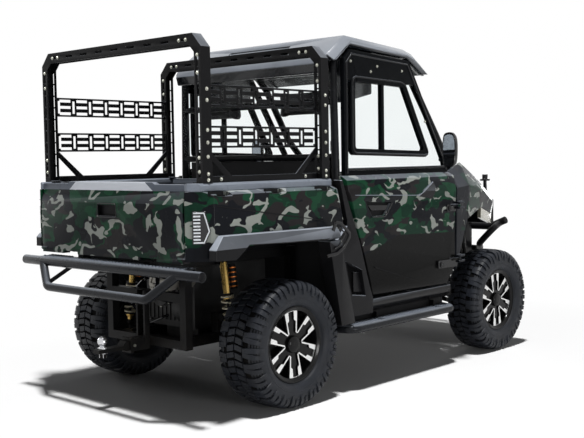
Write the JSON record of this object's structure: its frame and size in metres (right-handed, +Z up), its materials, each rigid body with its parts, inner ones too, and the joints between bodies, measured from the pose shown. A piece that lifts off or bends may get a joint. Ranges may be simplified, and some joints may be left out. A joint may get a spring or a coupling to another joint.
{
  "type": "utility vehicle",
  "caption": "Two-seat side by side off-road utility vehicle with a closed cab, tipping load bed, bed rack and tube bumpers",
  "frame": {"origin": "on the ground below the middle of the bounding box", "axes": "+X forward, +Y to the vehicle's left, +Z up"},
  "size_m": [3.176, 1.68, 1.921],
  "materials": {
    "tyre": "moulded rubber",
    "rim": "gloss black with machined faces",
    "frame_steel": "satin black powder coat",
    "cage_steel": "satin black powder coat",
    "body_camo": "moulded plastic with a camouflage film",
    "body_dark": "grained charcoal plastic",
    "roof_plastic": "smooth charcoal plastic",
    "trim": "grained black plastic",
    "door_frame": "satin black",
    "glass": "clear",
    "rack_steel": "textured black powder coat",
    "bumper_steel": "satin dark grey powder coat",
    "seat_cover": "black vinyl",
    "tail_lens": "red lens",
    "front_lens": "clear lens over reflectors",
    "shock_metal": "anodised body with a painted spring",
    "cast_metal": "bare casting",
    "hitch_steel": "plated ball on a black drawbar"
  },
  "bodies": {
    "chassis": {"chassis_frame": "frame_steel", "cab_cage": "cage_steel", "roof": "roof_plastic", "cab_glass": "glass", "cab_tub": "trim", "dashboard": "trim", "seats": "seat_cover", "drive_unit": "cast_metal", "hood": "body_camo", "front_fenders": "body_camo", "nose": "body_dark", "front_lamps": "front_lens", "side_panels": "body_dark", "side_steps": "bumper_steel", "rear_bumper": "bumper_steel", "front_bumper": "bumper_steel", "hitch": "hitch_steel", "front_suspension": "frame_steel", "rear_suspension": "frame_steel", "shocks": "shock_metal"},
    "bed": {"bed_floor": "trim", "bed_sides": "body_camo", "bed_caps": "body_dark", "rear_flares": "body_dark", "tail_lamps": "tail_lens", "rack_hoops": "rack_steel", "rack_panels": "rack_steel"},
    "tailgate": {"tailgate": "body_camo"},
    "steering_wheel": {"steering_wheel": "trim"},
    "door_left": {"door_left": "body_camo", "door_frame_left": "door_frame", "door_glass_left": "glass"},
    "knuckle_left": {"knuckle_left": "cast_metal"},
    "wheel_rear_left": {"tyre_rear_left": "tyre", "rim_rear_left": "rim"},
    "wheel_front_left": {"tyre_front_left": "tyre", "rim_front_left": "rim"},
    "door_right": {"door_right": "body_camo", "door_frame_right": "door_frame", "door_glass_right": "glass"},
    "knuckle_right": {"knuckle_right": "cast_metal"},
    "wheel_rear_right": {"tyre_rear_right": "tyre", "rim_rear_right": "rim"},
    "wheel_front_right": {"tyre_front_right": "tyre", "rim_front_right": "rim"}
  },
  "joints": [
    {"name": "steer_left", "type": "hinge", "parent": "chassis", "child": "knuckle_left", "pos_m": [1.063, 0.565, 0.325], "axis": [0, 0, 1], "range_deg": [-25, 25]},
    {"name": "steer_right", "type": "hinge", "parent": "chassis", "child": "knuckle_right", "pos_m": [1.063, -0.565, 0.325], "axis": [0, 0, 1], "range_deg": [-25, 25]},
    {"name": "steering_wheel_turn", "type": "hinge", "parent": "chassis", "child": "steering_wheel", "pos_m": [0.301, 0.32, 1.092], "axis": [-0.8829, 0, 0.4695], "range_deg": [-100, 100]},
    {"name": "wheel_rear_left_spin", "type": "hinge", "parent": "chassis", "child": "wheel_rear_left", "pos_m": [-0.874, 0.615, 0.325], "axis": [0, 1, 0], "continuous": true},
    {"name": "wheel_front_left_spin", "type": "hinge", "parent": "knuckle_left", "child": "wheel_front_left", "pos_m": [1.063, 0.635, 0.325], "axis": [0, 1, 0], "continuous": true},
    {"name": "wheel_rear_right_spin", "type": "hinge", "parent": "chassis", "child": "wheel_rear_right", "pos_m": [-0.874, -0.615, 0.325], "axis": [0, 1, 0], "continuous": true},
    {"name": "wheel_front_right_spin", "type": "hinge", "parent": "knuckle_right", "child": "wheel_front_right", "pos_m": [1.063, -0.635, 0.325], "axis": [0, 1, 0], "continuous": true},
    {"name": "door_left_hinge", "type": "hinge", "parent": "chassis", "child": "door_left", "pos_m": [0.5975, 0.733, 0.795], "axis": [0, 0, -1], "range_deg": [0, 65]},
    {"name": "door_right_hinge", "type": "hinge", "parent": "chassis", "child": "door_right", "pos_m": [0.5975, -0.733, 0.795], "axis": [0, 0, 1], "range_deg": [0, 65]},
    {"name": "bed_tilt", "type": "hinge", "parent": "chassis", "child": "bed", "pos_m": [-1.436, 0, 0.797], "axis": [0, -1, 0], "range_deg": [0, 30]},
    {"name": "tailgate_hinge", "type": "hinge", "parent": "bed", "child": "tailgate", "pos_m": [-1.474, 0, 0.796], "axis": [0, -1, 0], "range_deg": [0, 90]}
  ],
  "couplings": [
    {"joint": "steer_right", "follows": "steer_left", "ratio": 1},
    {"joint": "steering_wheel_turn", "follows": "steer_left", "ratio": 4}
  ]
}
